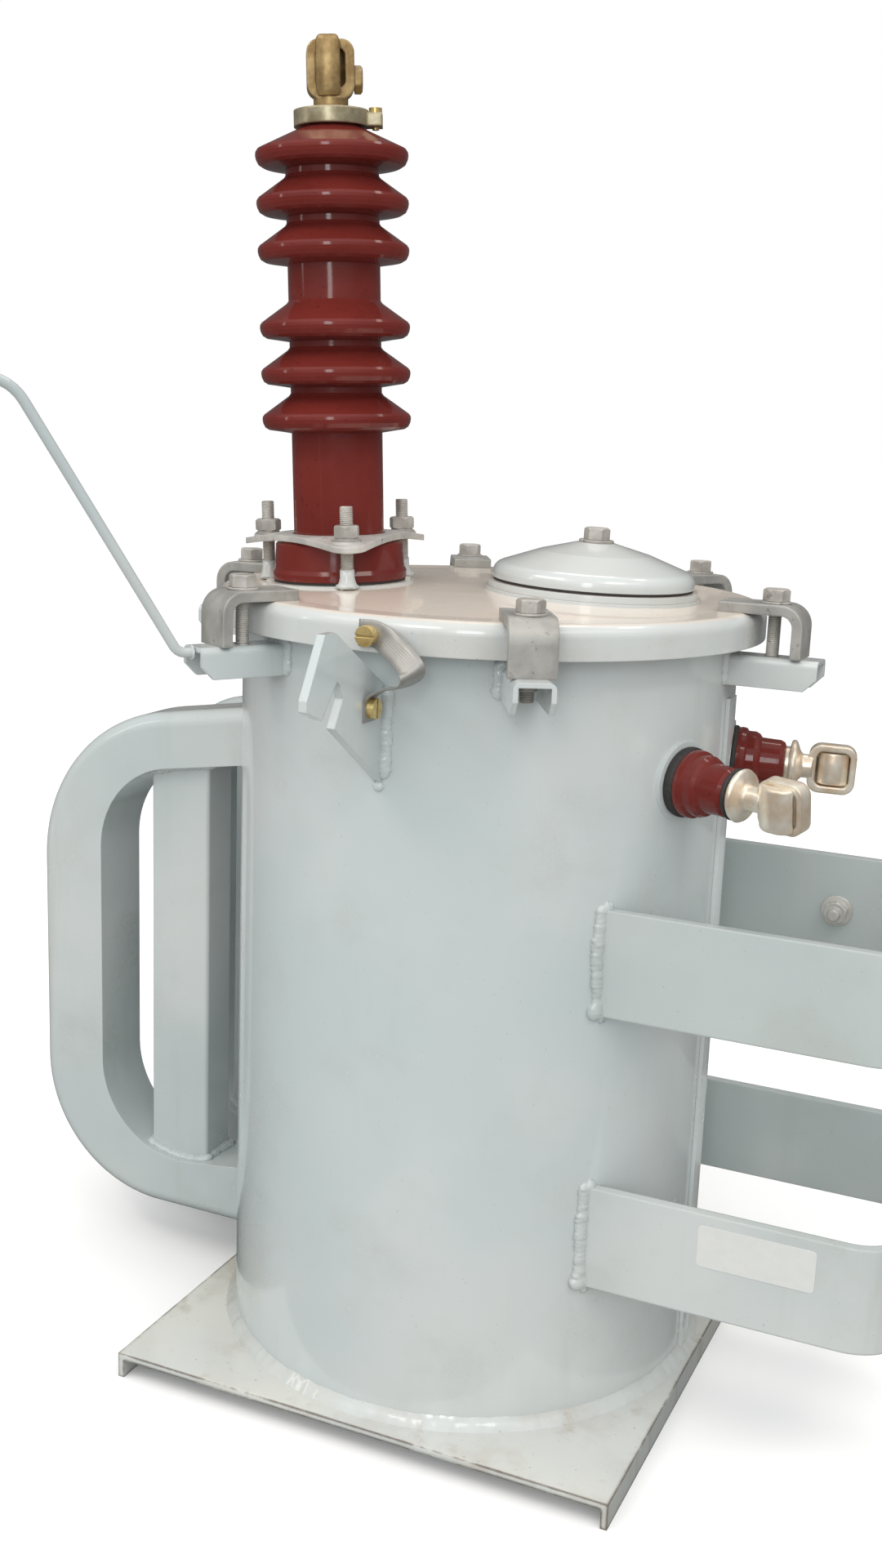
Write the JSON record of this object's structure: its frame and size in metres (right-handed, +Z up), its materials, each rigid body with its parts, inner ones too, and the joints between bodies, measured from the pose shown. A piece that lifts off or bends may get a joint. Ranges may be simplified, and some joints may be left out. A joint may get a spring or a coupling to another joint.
{
  "type": "pole mounted distribution transformer",
  "caption": "Oil-filled pole mounted transformer: round tank on a footed base plate, clamped crowned lid with shed bushing and handhole, side bushings, D-tube radiators and pole hoops.",
  "frame": {"origin": "on the tank's axis, at the level of the floor that the base plate's feet stand on", "axes": "+Z up along the tank's axis, +X towards the pole (hoops and low voltage bushings), -Y towards the front lifting lug"},
  "size_m": [0.781, 0.7026, 1.0057],
  "materials": {
    "enamel_tank": "gloss light grey enamel",
    "enamel_lid": "gloss light grey enamel, lightly soiled",
    "enamel_base": "gloss light grey enamel with chipped and dirty edges",
    "enamel_radiator": "gloss light grey enamel",
    "galvanised_steel": "dull speckled zinc",
    "brown_porcelain": "dark red-brown glaze, gloss",
    "brass": "pale machined brass, slightly tarnished",
    "black_rubber": "matt black oil-proof rubber",
    "tinned_braid": "dull tinned copper ribbon"
  },
  "bodies": {
    "root": {"base_plate": "enamel_base", "tank_wall": "enamel_tank", "tank_bottom": "enamel_tank", "tank_rim": "enamel_tank", "seam_strip": "enamel_tank", "lid_gasket": "black_rubber", "lid": "enamel_lid", "clamp_lugs": "enamel_tank", "lid_clamps": "galvanised_steel", "clamp_bolts": "galvanised_steel", "handhole_neck": "enamel_lid", "handhole_gasket": "black_rubber", "handhole_cover": "enamel_lid", "handhole_bar": "galvanised_steel", "handhole_bolt": "galvanised_steel", "hv_gasket": "black_rubber", "hv_bushing": "brown_porcelain", "hv_clamp_plate": "galvanised_steel", "hv_studs": "galvanised_steel", "hv_cap": "brass", "hv_cap_screw": "brass", "hv_terminal": "brass", "hv_jaw": "brass", "lv_gaskets": "black_rubber", "lv_bushing_1": "brown_porcelain", "lv_bushing_2": "brown_porcelain", "lv_terminal_1": "brass", "lv_terminal_2": "brass", "lv_jaw_1": "brass", "lv_jaw_2": "brass", "bracket_upper": "enamel_tank", "bracket_lower": "enamel_tank", "bracket_stud": "brass", "lifting_lug_front": "enamel_tank", "lifting_lug_back": "enamel_tank", "ground_strap": "tinned_braid", "strap_screw_lid": "brass", "strap_screw_lug": "brass", "radiator_1": "enamel_radiator", "radiator_2": "enamel_radiator", "radiator_3": "enamel_radiator", "riser_1": "enamel_radiator", "riser_2": "enamel_radiator", "riser_3": "enamel_radiator", "guard_rod": "enamel_tank"}
  },
  "joints": []
}
